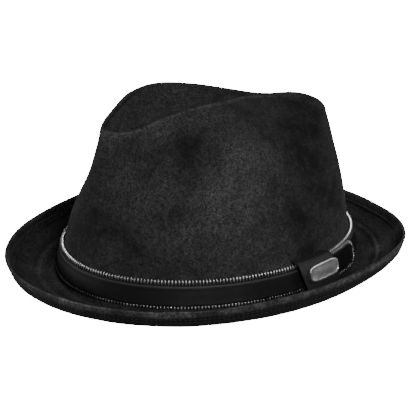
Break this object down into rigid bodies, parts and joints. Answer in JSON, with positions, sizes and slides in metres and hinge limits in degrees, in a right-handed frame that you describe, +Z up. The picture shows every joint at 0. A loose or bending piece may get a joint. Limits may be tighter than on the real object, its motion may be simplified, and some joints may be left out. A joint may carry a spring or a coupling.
{
  "type": "leather fedora hat",
  "caption": "Black leather fedora with a teardrop crown, a short turned-up brim and a leather band edged with metal zip teeth, held by a keeper with a plain plate.",
  "frame": {"origin": "middle of the hat's bounding box in plan, on the surface that the brim rests on", "axes": "+Z up through the crown; -Y the way the wearer looks, so +Y is the back of the hat; +X the wearer's left, where the keeper is"},
  "size_m": [0.2392, 0.2851, 0.1224],
  "materials": {
    "nubuck_crown": "matte nubuck",
    "nubuck_brim": "matte nubuck, sewn edge",
    "band_leather": "smooth, semi-matte",
    "tongue_leather": "smooth, glossy",
    "keeper_leather": "smooth, satin",
    "zip_metal": "polished zip teeth",
    "plate_metal": "polished"
  },
  "bodies": {
    "root": {"crown": "nubuck_crown", "brim": "nubuck_brim", "band_strap": "band_leather", "zip_upper": "zip_metal", "zip_lower": "zip_metal", "tongue": "tongue_leather", "tongue_zip": "zip_metal", "keeper": "keeper_leather", "badge_plate": "plate_metal"}
  },
  "joints": []
}
